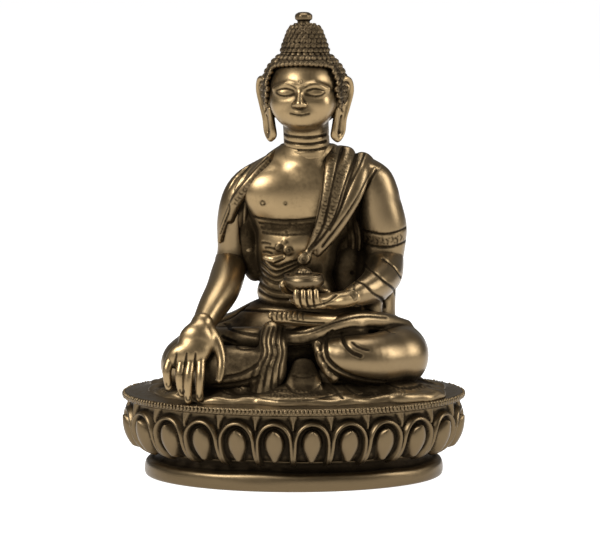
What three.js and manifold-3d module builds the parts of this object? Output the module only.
// Seated Buddha on an oval lotus pedestal, cast in brass.
// Millimetres, +Z up, the figure faces -Y, and the origin is under the middle of the foot plinth.
import * as THREE from 'three';
import { mergeVertices } from 'three/addons/utils/BufferGeometryUtils.js';
import Module from 'manifold-3d';

const wasm = await Module();
wasm.setup();

// Driving dimensions.
const GAP = 0.3;
const TOTAL_HEIGHT = 140;
const FOOT_HALF_WIDTH = 45.5;
const FOOT_HALF_DEPTH = 30.5;
const FOOT_TOP = 8.6;
const LOTUS_HALF_WIDTH = 52.2;
const LOTUS_HALF_DEPTH = 35.2;
const LOTUS_TOP = 23.2;
const RIM_TOP = 25.6;
const DECK_TOP = 27.6;
const PETALS = 24;
const WALL = 2.6;
const BOLT_RADIUS = 2.5;
const DOWEL_RADIUS = 1.6;
const LAP_BASE = DECK_TOP + GAP;
const WAIST_CUT = 56.5;
const NECK_CUT = 97.6;
const HAIR_CUT = 121.4;
const CROWN_CUT = 129.2;
const JEWEL_CUT = 136.2;
const HEAD_X = 3.2;

// Finishes.
const BRASS = { color: 0x8a6a3a, roughness: 0.36, metalness: 1 };
const SKIN = { color: 0x927243, roughness: 0.3, metalness: 1 };
const CLOTH = { color: 0x7c5e34, roughness: 0.42, metalness: 1 };
const HAIR = { color: 0x6a5030, roughness: 0.48, metalness: 1 };
const COPPER = { color: 0x8c5a3c, roughness: 0.5, metalness: 1 };
const STEEL = { color: 0x9a9a96, roughness: 0.4, metalness: 1 };

// Solids.
function signedVolume(geometry) {
  const p = geometry.attributes.position;
  const index = geometry.index.array;
  const [a, b, c] = [new THREE.Vector3(), new THREE.Vector3(), new THREE.Vector3()];
  let total = 0;
  for (let i = 0; i < index.length; i += 3) {
    a.fromBufferAttribute(p, index[i]);
    b.fromBufferAttribute(p, index[i + 1]);
    c.fromBufferAttribute(p, index[i + 2]);
    total += a.dot(b.cross(c));
  }
  return total / 6;
}

function solid(geometry) {
  geometry.deleteAttribute('normal');
  geometry.deleteAttribute('uv');
  const welded = mergeVertices(geometry, 1e-4);
  const index = Array.from(welded.index.array);
  if (signedVolume(welded) < 0) index.reverse();
  return new wasm.Manifold(new wasm.Mesh({
    numProp: 3,
    vertProperties: new Float32Array(welded.attributes.position.array),
    triVerts: new Uint32Array(index),
  }));
}

function geometryOf(manifold) {
  const mesh = manifold.getMesh();
  const geometry = new THREE.BufferGeometry();
  geometry.setAttribute('position', new THREE.BufferAttribute(mesh.vertProperties, 3));
  geometry.setIndex(new THREE.BufferAttribute(mesh.triVerts, 1));
  geometry.computeVertexNormals();
  return geometry;
}

function join(first, ...others) {
  return others.reduce((sum, other) => sum.add(other), first);
}

function cut(body, ...tools) {
  return tools.reduce((rest, tool) => rest.subtract(tool), body);
}

// A turned solid about Z; the profile holds [radius, height] pairs.
function turned(profile, segments = 32) {
  const points = profile.map(([r, z]) => new THREE.Vector2(r, z));
  return new THREE.LatheGeometry(points, segments).rotateX(Math.PI / 2);
}

// Squeezes a turned solid of half-width a in Y, so that its plan is an oval of half-depth b.
function oval(geometry, a, b) {
  return geometry.scale(1, b / a, 1);
}

function ball(x, y, z, rx, ry, rz, around = 18, up = 10) {
  const sphere = new THREE.SphereGeometry(1, around, up).rotateX(Math.PI / 2);
  return solid(sphere.scale(rx, ry, rz).translate(x, y, z));
}

function block(x0, x1, y0, y1, z0, z1) {
  const box = new THREE.BoxGeometry(x1 - x0, y1 - y0, z1 - z0);
  return solid(box.translate((x0 + x1) / 2, (y0 + y1) / 2, (z0 + z1) / 2));
}

const above = (z) => block(-90, 90, -90, 90, z, z + 200);
const below = (z) => block(-90, 90, -90, 90, z - 200, z);

function pin(x, y, z, radius, length, axis = 'z') {
  const rod = new THREE.CylinderGeometry(radius, radius, length, 16);
  if (axis === 'z') rod.rotateX(Math.PI / 2);
  if (axis === 'x') rod.rotateZ(Math.PI / 2);
  return solid(rod.translate(x, y, z));
}

const FRONT = new THREE.Vector3(0, -1, 0);
const UP = new THREE.Vector3(0, 0, 1);
const ACROSS = new THREE.Vector3(1, 0, 0);

// A limb with an oval section that changes along a smooth line. Each station holds
// [x, y, z, half-width, half-depth], with the depth measured towards facing.
// grow makes the limb that much bigger all round.
function limb(facing, stations, grow = 0, sides = 12, steps = 9) {
  const line = new THREE.CatmullRomCurve3(stations.map(([x, y, z]) => new THREE.Vector3(x, y, z)));
  const size = new THREE.CatmullRomCurve3(stations.map((s) => new THREE.Vector3(s[3], s[4], 0)));
  const tube = new THREE.CylinderGeometry(1, 1, 1, sides, steps);
  const p = tube.attributes.position;
  for (let i = 0; i < p.count; i += 1) {
    const t = THREE.MathUtils.clamp(p.getY(i) + 0.5, 0, 1);
    const tangent = line.getTangent(t);
    const side = new THREE.Vector3().crossVectors(tangent, facing).normalize();
    const ahead = new THREE.Vector3().crossVectors(side, tangent).normalize();
    const radius = size.getPoint(t);
    const place = line.getPoint(t);
    place.addScaledVector(side, p.getX(i) * (radius.x + grow));
    place.addScaledVector(ahead, p.getZ(i) * (radius.y + grow));
    if (t === 0) place.addScaledVector(tangent, -grow);
    if (t === 1) place.addScaledVector(tangent, grow);
    p.setXYZ(i, place.x, place.y, place.z);
  }
  return solid(tube);
}

// Pedestal.
function footPlinth() {
  const a = FOOT_HALF_WIDTH;
  const ring = turned([
    [a - 4.5, 0], [a - 1, 0], [a, 0.9], [a, 4.1], [a - 0.9, 5], [a - 2.6, 5.6], [a - 3.2, 7],
    [a - 2.8, FOOT_TOP], [a - 7, FOOT_TOP], [a - 7, 2.4], [a - 4.5, 2.4], [a - 4.5, 0],
  ], 48);
  return solid(oval(ring, a, FOOT_HALF_DEPTH));
}

function coverPlate() {
  const a = FOOT_HALF_WIDTH - 4.5 - GAP;
  const plate = turned([[0, 0.9], [a - 0.4, 0.9], [a, 1.3], [a, 2.1], [0, 2.1]], 48);
  return solid(oval(plate, a, a * (FOOT_HALF_DEPTH / FOOT_HALF_WIDTH)));
}

// The petals swell the outside of the band, so its plan is a row of shallow lobes.
function lotusPedestal() {
  const a = LOTUS_HALF_WIDTH;
  const low = FOOT_TOP + GAP;
  const band = turned([
    [a - 9.4, low], [a - 8, low], [a - 4, low + 1.4], [a - 1.2, low + 4.4], [a - 0.2, low + 8],
    [a - 1, LOTUS_TOP - 2.4], [a - 2.6, LOTUS_TOP], [a - 6, LOTUS_TOP],
    [a - 6, LOTUS_TOP - 4], [a - 3.2 - WALL, low + 6], [a - 9.4, low + 2.4], [a - 9.4, low],
  ], PETALS * 3);
  const p = band.attributes.position;
  for (let i = 0; i < p.count; i += 1) {
    const radius = Math.hypot(p.getX(i), p.getY(i));
    const angle = Math.atan2(p.getY(i), p.getX(i));
    const outside = THREE.MathUtils.smoothstep(radius, a - 5, a - 1);
    const swell = 1 - (0.9 * outside * (0.5 + 0.5 * Math.cos(angle * PETALS))) / a;
    p.setXY(i, p.getX(i) * swell, p.getY(i) * swell);
  }
  return solid(oval(band, a, LOTUS_HALF_DEPTH));
}

function seatDeck() {
  const a = LOTUS_HALF_WIDTH - 0.2;
  const low = LOTUS_TOP + GAP;
  const plate = turned([
    [0, low + 1], [a - 9, low + 0.6], [a - 8, low], [a - 0.8, low], [a, low + 0.7], [a, RIM_TOP - 0.7],
    [a - 0.8, RIM_TOP], [a - 4, RIM_TOP + 0.2], [a - 12, DECK_TOP], [0, DECK_TOP],
  ], 48);
  return cut(solid(oval(plate, a, LOTUS_HALF_DEPTH - 0.2)), pin(0, 4, DECK_TOP, BOLT_RADIUS + GAP, 20));
}

function fixingBolt() {
  const hexagon = new THREE.CylinderGeometry(4.4, 4.4, 3, 6).rotateX(Math.PI / 2);
  const head = solid(hexagon.translate(0, 4, LOTUS_TOP - 2.2));
  return join(head, pin(0, 4, DECK_TOP + 3, BOLT_RADIUS, 17));
}

function boltWasher() {
  const top = LOTUS_TOP + GAP + 1 - GAP;
  const bottom = top - 1;
  const hole = BOLT_RADIUS + GAP;
  return solid(turned([
    [hole, bottom], [6.5, bottom], [6.5, top], [hole, top], [hole, bottom],
  ], 24).translate(0, 4, 0));
}

// Legs and lap.
function legs(grow = 0) {
  const rightLeg = limb(UP, [
    [-8, 20, 38, 5, 7], [-24, 14, 38, 10, 11.5], [-33.5, -5, 37, 8.5, 9], [-26, -18, 34.5, 6, 6.5],
    [-8, -24, 32, 4.5, 4.5], [4, -24, 31.5, 2.5, 3],
  ], grow, 12, 12);
  const leftLeg = limb(UP, [
    [8, 20, 38, 5, 7], [24, 14, 38, 10, 11.5], [33, -5, 37, 9, 9.4], [25, -17, 36.5, 6.5, 7.5],
    [8, -21, 40, 5, 5.5], [-4, -20, 42, 3, 3.5],
  ], grow, 12, 12);
  return join(ball(0, 6, 37, 31 + grow, 21 + grow, 13 + grow), rightLeg, leftLeg);
}

function lapAndLegs() {
  const shaft = pin(0, 4, LAP_BASE + 5, BOLT_RADIUS + GAP, 14);
  const hands = join(bowlAndHand(GAP), rightHand(GAP));
  return cut(legs(), below(LAP_BASE), torso(GAP), shaft, hands, upturnedFoot(GAP));
}

function upturnedFoot(grow = 0) {
  return limb(UP, [
    [12, -17, 47, 2, 2], [5, -20, 48.5, 3, 2.6], [-3, -21, 49.5, 3.4, 2.4],
    [-8.5, -20.5, 49, 2, 1.6],
  ], grow, 10, 6);
}

// The robe's gathered edge, which spreads over the deck in front of the legs.
function robeHem() {
  const apron = turned([[0, 0], [17.5, 0], [18.4, 0.9], [17.5, 1.8], [0, 2.4]], 28).scale(1, 0.62, 1);
  const train = turned([[0, 0], [13, 0], [13.8, 0.8], [13, 1.6], [0, 2]], 22).scale(1, 0.7, 1);
  const front = solid(apron.translate(0, -19, LAP_BASE));
  const spread = join(front, solid(train.translate(24, -14.5, LAP_BASE)));
  return cut(spread, legs(GAP), rightHand(GAP));
}

// Torso and robe.
const TORSO = [
  [0, 8, 46, 15, 12], [0, 8, 54, 13.6, 10.8], [0.4, 7.4, 62, 12.4, 9.8], [1.6, 6.6, 73, 14.6, 10.6],
  [3.2, 6, 83, 18.4, 11], [4.4, 6, 90.5, 17.6, 9.6], [4.6, 6, 95.5, 11.6, 7.4], [4, 5, 99.5, 6.8, 6.4],
];

function torso(grow = 0) {
  return cut(limb(FRONT, TORSO, grow, 20, 14), below(WAIST_CUT - 8 - grow), above(NECK_CUT + grow));
}

function torsoCasting() {
  const sockets = [
    pin(4, 4.5, NECK_CUT, DOWEL_RADIUS + GAP, 12),
    pin(-13, 7, 86, DOWEL_RADIUS + GAP, 12, 'x'),
    pin(20, 7, 88, DOWEL_RADIUS + GAP, 12, 'x'),
  ];
  return cut(torso(), ...sockets, rightArm(GAP), leftArm(GAP), bowlAndHand(GAP));
}

// The folded sash runs from the waist up over the figure's left shoulder and down the back.
function shoulderSash() {
  const sash = limb(ACROSS, [
    [6.6, -3.4, 62, 2.2, 3.2], [9, -4.8, 74, 2.3, 4.8], [12.4, -4.6, 85, 2.4, 6.2], [15.4, -0.8, 94, 2.8, 6.6],
    [15.6, 6.4, 97, 3, 6.8], [14, 15, 92, 2.8, 7], [10, 18.4, 78, 2.6, 6],
  ], 0, 10, 14);
  return cut(sash, torso(GAP), leftArm(GAP), headCore(GAP), bowlAndHand(GAP));
}

// The robe's other edge lies over the right shoulder and falls behind the upper arm.
function rightShoulderRobe() {
  const edge = limb(FRONT, [
    [-22, 7, 70, 3.4, 3.2], [-21.6, 4.4, 79, 3.4, 3.4], [-17.2, 3.2, 87.2, 3.6, 3.4], [-9.4, 4.6, 93.6, 3, 3.4],
    [-4.4, 8, 96.4, 2.6, 3.4], [-1, 11.4, 96.4, 2.4, 3],
  ], 0, 10, 12);
  return cut(edge, torso(GAP), rightArm(GAP), headCore(GAP), shoulderSashShape(GAP));
}

function shoulderSashShape(grow) {
  return limb(ACROSS, [
    [15.4, -0.8, 94, 2.8, 6.6], [15.6, 6.4, 97, 3, 6.8], [14, 15, 92, 2.8, 7],
  ], grow, 10, 6);
}

// Arms. The right hand reaches down over the shin and touches the ground.
const RIGHT_ELBOW = [-19, 10, 64];
const LEFT_ELBOW = [29, 9, 65];

function rightArm(grow = 0) {
  return limb(FRONT, [
    [-14.5, 7, 88.4, 4.6, 5], [-16.8, 7.4, 82.6, 6, 6.2], [-18.6, 8.6, 74, 5.6, 6],
    [...RIGHT_ELBOW, 4.6, 5],
  ], grow);
}

function rightForearm(grow = 0) {
  return limb(FRONT, [
    [...RIGHT_ELBOW, 4.8, 5.4], [-21.4, 2, 59, 5.2, 5.2], [-25, -9.6, 53.4, 4, 4.2],
    [-26.8, -16.6, 49.4, 3.4, 3],
  ], grow);
}

function rightHand(grow = 0) {
  const palm = limb(FRONT, [
    [-26.8, -16.4, 49.6, 3.3, 2.8], [-29, -20.4, 45.6, 5.2, 3], [-31, -23, 39.4, 7, 2.6],
  ], grow, 12, 6);
  const tips = [[-38.4, -21, 31.2], [-35, -23.4, 29.8], [-31.4, -24.6, 28.6], [-28.2, -24.6, 28.8]];
  const fingers = tips.map(([x, y, z], i) => {
    const root = -36 + i * 3.4;
    return limb(FRONT, [
      [root, -23, 40.6, 1.8, 1.7], [(root + x) / 2, -25, 35.4, 1.75, 1.7],
      [x, y, z, 1.4, 1.4],
    ], grow, 8, 4);
  });
  const thumb = limb(FRONT, [
    [-25.6, -18.6, 44.4, 1.8, 1.8], [-24, -22.4, 38.6, 1.8, 1.8],
    [-23.6, -23.6, 32.4, 1.3, 1.3],
  ], grow, 8, 4);
  return join(palm, ...fingers, thumb);
}

function leftArm(grow = 0) {
  return limb(FRONT, [
    [20.5, 7, 92, 5.2, 5.4], [24, 7.4, 86, 7.4, 7.2], [27, 8, 76, 7, 7.2],
    [...LEFT_ELBOW, 5.6, 5.8],
  ], grow);
}

function leftForearm(grow = 0) {
  return limb(FRONT, [
    [...LEFT_ELBOW, 5.8, 6], [28.6, 0, 61.4, 6, 5.8], [23.6, -10, 59, 5, 4.8],
    [18, -15.6, 57.4, 3.6, 3.2],
  ], grow);
}

function leftHand(grow = 0) {
  const palm = limb(UP, [
    [18, -15.8, 57.4, 3.3, 2.8], [13, -18.4, 56.4, 4.6, 2.4], [4, -19.4, 55.6, 5, 1.8],
    [-1, -19, 56, 4, 1.4],
  ], grow, 12, 8);
  const thumb = limb(FRONT, [
    [12, -16, 58, 1.6, 1.6], [9.6, -12.6, 61, 1.4, 1.4], [7.4, -11.8, 63, 1.1, 1.1],
  ], grow, 8, 4);
  return join(palm, thumb);
}

function bowlAndHand(grow = 0) {
  return join(bowlShape(grow), leftHand(grow));
}

const BOWL_AT = [3, -18, 57.9];

function bowlShape(grow = 0) {
  const profile = [
    [0, -grow], [2.6 + grow, -grow], [4.8 + grow, 1.6], [5.7 + grow, 4],
    [5.2 + grow, 5.8 + grow], [0, 5.8 + grow],
  ];
  return solid(turned(profile, 24).translate(...BOWL_AT));
}

function almsBowl() {
  const hollow = turned([[0, 3.4], [3, 3.6], [4.2, 4.6], [4.4, 9], [0, 9]], 24).translate(...BOWL_AT);
  return cut(bowlShape(), solid(hollow));
}

function bowlOffering() {
  const mound = turned([[0, 3.7], [2.8, 3.9], [3.8, 4.8], [3.6, 5.9], [2.2, 6.9], [0, 7.3]], 24);
  return solid(mound.translate(...BOWL_AT));
}

// Head. The face is a plain oval form; the features are on its surface.
function headCore(grow = 0) {
  const skull = ball(HEAD_X, 1.4, 115.5, 11 + grow, 11.6 + grow, 13 + grow, 22, 12);
  const jaw = ball(HEAD_X, -2, 110.6, 7.4 + grow, 7 + grow, 5.6 + grow, 16, 8);
  const neck = limb(FRONT, [
    [4, 5, 94, 7.2, 6.8], [4, 4.4, 100, 6.4, 6.2], [3.6, 3.6, 108, 6.2, 6.2],
  ], grow, 16, 3);
  return join(skull, jaw, neck);
}

function head() {
  const socket = pin(4, 4.5, NECK_CUT, DOWEL_RADIUS + GAP, 12);
  const crown = cut(hairShape(GAP), block(-30, 30, -30, -3.6, 90, HAIR_CUT));
  return cut(headCore(), below(NECK_CUT + GAP), above(HAIR_CUT), crown, socket);
}

function hairShape(grow = 0) {
  return ball(HEAD_X - 0.2, 2.6, 117.2, 13 + grow, 13 + grow, 13.6 + grow, 24, 12);
}

function hairCap() {
  const face = block(-30, 30, -30, -3.6, 90, HAIR_CUT + GAP);
  const hair = cut(hairShape(), face, below(108), above(CROWN_CUT), headCoreUnderHair());
  const socket = pin(HEAD_X, 2.6, CROWN_CUT, DOWEL_RADIUS + GAP, 8);
  return cut(hair, earShape(-1, GAP), earShape(1, GAP), socket);
}

function headCoreUnderHair() {
  return cut(headCore(GAP), above(HAIR_CUT + GAP));
}

function ushnisha() {
  const tiers = turned([
    [0, CROWN_CUT + GAP], [7.4, CROWN_CUT + GAP], [7.6, 130.4], [6.9, 131.2], [6.7, 132], [6, 132.8], [5.8, 133.6],
    [5, 134.4], [4.6, 135.2], [3.6, JEWEL_CUT], [0, JEWEL_CUT],
  ], 22);
  const base = [HEAD_X, 2.6, 0];
  return cut(solid(tiers.translate(...base)), pin(HEAD_X, 2.6, CROWN_CUT, DOWEL_RADIUS + GAP, 8),
    pin(HEAD_X, 2.6, JEWEL_CUT, 1.1 + GAP, 3));
}

function finialJewel() {
  const low = JEWEL_CUT + GAP;
  const knob = turned([
    [0, low - 1.2], [1.1, low - 1.2], [1.1, low], [2.4, low], [2.7, low + 1], [2.5, low + 2.2], [1.3, low + 3.1],
    [0, TOTAL_HEIGHT],
  ], 16);
  return solid(knob.translate(HEAD_X, 2.6, 0));
}

// side is -1 for the figure's right ear and 1 for its left ear.
function earShape(side, grow = 0) {
  const x = HEAD_X + side * 12.2;
  return limb(FRONT, [
    [x + side * 0.6, 2, 119.6, 1.2, 2], [x + side * 1.6, 2.6, 116.4, 1.8, 3.2], [x + side * 1.2, 1.6, 111, 1.5, 2.4],
    [x + side * 0.6, 0.6, 106, 1.3, 2], [x + side * 0.2, 0.4, 102.6, 1, 1.4],
  ], grow, 10, 8);
}

function ear(side) {
  return cut(earShape(side), headCore(GAP));
}

// Assembly.
const assembly = new THREE.Group();

function add(name, manifold, finish) {
  const mesh = new THREE.Mesh(geometryOf(manifold), new THREE.MeshStandardMaterial(finish));
  mesh.name = name;
  assembly.add(mesh);
}

add('foot_plinth', footPlinth(), BRASS);
add('bottom_cover_plate', coverPlate(), COPPER);
add('lotus_pedestal', lotusPedestal(), BRASS);
add('seat_deck', seatDeck(), BRASS);
add('fixing_bolt', fixingBolt(), STEEL);
add('bolt_washer', boltWasher(), STEEL);
add('lap_and_legs', lapAndLegs(), CLOTH);
add('upturned_foot', cut(upturnedFoot(), leftHand(GAP)), SKIN);
add('robe_hem', robeHem(), CLOTH);
add('torso', torsoCasting(), SKIN);
add('shoulder_sash', shoulderSash(), CLOTH);
add('right_shoulder_robe', rightShoulderRobe(), CLOTH);
add('right_upper_arm', cut(rightArm(), pin(-13, 7, 86, DOWEL_RADIUS + GAP, 12, 'x')), CLOTH);
add('right_forearm', cut(rightForearm(), rightArm(GAP), legs(GAP), rightHand(GAP)), SKIN);
add('right_hand', rightHand(), SKIN);
add('left_upper_arm', cut(leftArm(), pin(20, 7, 88, DOWEL_RADIUS + GAP, 12, 'x')), CLOTH);
add('left_forearm', cut(leftForearm(), leftArm(GAP), leftHand(GAP), torso(GAP), legs(GAP)), CLOTH);
add('left_hand', cut(leftHand(), bowlShape(GAP)), SKIN);
add('alms_bowl', almsBowl(), BRASS);
add('bowl_offering', bowlOffering(), BRASS);
add('head', head(), SKIN);
add('hair_cap', hairCap(), HAIR);
add('ushnisha', ushnisha(), HAIR);
add('finial_jewel', finialJewel(), BRASS);
add('right_ear', ear(-1), SKIN);
add('left_ear', ear(1), SKIN);
add('neck_dowel', pin(4, 4.5, NECK_CUT, DOWEL_RADIUS, 11), BRASS);
add('crown_dowel', pin(HEAD_X, 2.6, CROWN_CUT, DOWEL_RADIUS, 7), BRASS);
add('right_shoulder_dowel', pin(-13, 7, 86, DOWEL_RADIUS, 11, 'x'), BRASS);
add('left_shoulder_dowel', pin(20, 7, 88, DOWEL_RADIUS, 11, 'x'), BRASS);

export default assembly;
